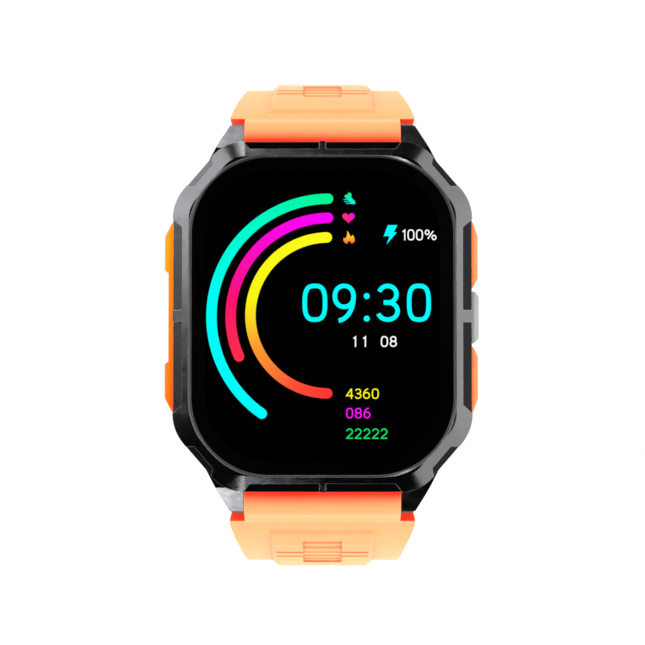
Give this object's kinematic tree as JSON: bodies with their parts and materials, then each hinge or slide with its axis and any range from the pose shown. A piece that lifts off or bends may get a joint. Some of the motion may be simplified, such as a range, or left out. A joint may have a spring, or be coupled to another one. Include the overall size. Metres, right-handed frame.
{
  "type": "gps running watch",
  "caption": "Rugged rectangular sports smartwatch with a dark metal bezel, flat glass display, side pushers and a two-part silicone strap with pin buckle.",
  "frame": {"origin": "centre of the sensor window's flat rear face, where the watch touches the wrist", "axes": "+Y towards the wrist (out of the case back), +Z towards 12 o'clock, +X towards 3 o'clock (button side)"},
  "size_m": [0.0442, 0.0749, 0.0722],
  "materials": {
    "bezel_metal": "dark PVD-coated metal, satin",
    "glass": "polished, tempered",
    "rear_polymer": "fine moulded texture",
    "orange_silicone": "soft-touch silicone",
    "orange_guard": "grained polymer",
    "peach_button": "satin polymer",
    "grey_button": "anodised, satin",
    "buckle_steel": "black PVD steel, satin",
    "bare_steel": "turned",
    "spring_steel": "drawn wire",
    "display": "laminated panel",
    "pcb": "solder mask",
    "chip": "moulded epoxy",
    "shield_steel": "tin plated",
    "magnesium": "die-cast",
    "battery_foil": "foil pouch",
    "foam": "closed-cell foam",
    "gasket": "silicone seal",
    "ceramic": "sintered",
    "flex": "polyimide film",
    "gold_pin": "gold plated",
    "magnet": "nickel plated",
    "sensor_glass": "dark filter glass",
    "led": "clear encapsulant",
    "tungsten": "sintered",
    "mesh": "woven"
  },
  "bodies": {
    "case": {"mid_frame": "bezel_metal", "top_bezel": "bezel_metal", "cover_glass": "glass", "glass_gasket": "gasket", "display_panel": "display", "display_flex": "flex", "inner_chassis": "magnesium", "chassis_screws": "bare_steel", "main_board": "pcb", "board_shield": "shield_steel", "board_chips": "chip", "gps_antenna": "ceramic", "battery": "battery_foil", "battery_pad": "foam", "speaker": "chip", "speaker_mesh": "mesh", "microphone": "shield_steel", "vibration_motor": "bare_steel", "side_switches": "chip", "left_guard": "orange_guard", "rear_cover": "rear_polymer", "rear_gasket": "gasket", "rear_screws": "bare_steel", "sensor_window": "sensor_glass", "sensor_board": "pcb", "sensor_leds": "led", "sensor_light_shield": "chip", "charge_contacts": "gold_pin", "charge_magnets": "magnet"},
    "upper_button": {"upper_button": "peach_button", "upper_button_seal": "gasket", "upper_button_clip": "spring_steel", "upper_button_spring": "spring_steel"},
    "centre_button": {"centre_button": "grey_button", "centre_button_seal": "gasket", "centre_button_clip": "spring_steel", "centre_button_spring": "spring_steel"},
    "lower_button": {"lower_button": "peach_button", "lower_button_seal": "gasket", "lower_button_clip": "spring_steel", "lower_button_spring": "spring_steel"},
    "upper_strap": {"strap_upper": "orange_silicone", "upper_bar_tube": "bare_steel", "upper_bar_spring": "spring_steel", "fixed_keeper": "orange_silicone"},
    "lower_strap": {"strap_lower": "orange_silicone", "lower_bar_tube": "bare_steel", "lower_bar_spring": "spring_steel"},
    "upper_release_pin": {"upper_bar_pin": "bare_steel"},
    "lower_release_pin": {"lower_bar_pin": "bare_steel"},
    "sliding_keeper": {"sliding_keeper": "orange_silicone"},
    "buckle": {"buckle_frame": "buckle_steel", "buckle_pin": "bare_steel"},
    "tongue": {"buckle_tongue": "buckle_steel"},
    "motor_rotor": {"motor_shaft": "bare_steel", "eccentric_weight": "tungsten"}
  },
  "joints": [
    {"name": "upper_strap_swing", "type": "hinge", "parent": "case", "child": "upper_strap", "pos_m": [0, -0.0057, 0.0256], "axis": [1, 0, 0], "range_deg": [-8, 50]},
    {"name": "lower_strap_swing", "type": "hinge", "parent": "case", "child": "lower_strap", "pos_m": [0, -0.0057, -0.0256], "axis": [-1, 0, 0], "range_deg": [-8, 50]},
    {"name": "upper_bar_release", "type": "slide", "parent": "upper_strap", "child": "upper_release_pin", "axis": [-1, 0, 0], "range_m": [0, 0.0014], "deforming": ["upper_bar_spring"]},
    {"name": "lower_bar_release", "type": "slide", "parent": "lower_strap", "child": "lower_release_pin", "axis": [-1, 0, 0], "range_m": [0, 0.0014], "deforming": ["lower_bar_spring"]},
    {"name": "sliding_keeper_travel", "type": "hinge", "parent": "upper_strap", "child": "sliding_keeper", "pos_m": [0, 0.0148, 0.00395], "axis": [-1, 0, 0], "range_deg": [-20, 10]},
    {"name": "buckle_swing", "type": "hinge", "parent": "upper_strap", "child": "buckle", "pos_m": [0, 0.04413, 0.00497], "axis": [1, 0, 0], "range_deg": [-30, 55]},
    {"name": "tongue_swing", "type": "hinge", "parent": "buckle", "child": "tongue", "pos_m": [0, 0.04413, 0.00497], "axis": [1, 0, 0], "range_deg": [0, 80]},
    {"name": "upper_button_press", "type": "slide", "parent": "case", "child": "upper_button", "axis": [-1, 0, 0], "range_m": [0, 0.0006], "deforming": ["upper_button_spring"]},
    {"name": "centre_button_press", "type": "slide", "parent": "case", "child": "centre_button", "axis": [-1, 0, 0], "range_m": [0, 0.0006], "deforming": ["centre_button_spring"]},
    {"name": "lower_button_press", "type": "slide", "parent": "case", "child": "lower_button", "axis": [-1, 0, 0], "range_m": [0, 0.0006], "deforming": ["lower_button_spring"]},
    {"name": "vibration_weight_spin", "type": "hinge", "parent": "case", "child": "motor_rotor", "pos_m": [0, -0.0055, -0.0172], "axis": [1, 0, 0], "continuous": true}
  ]
}
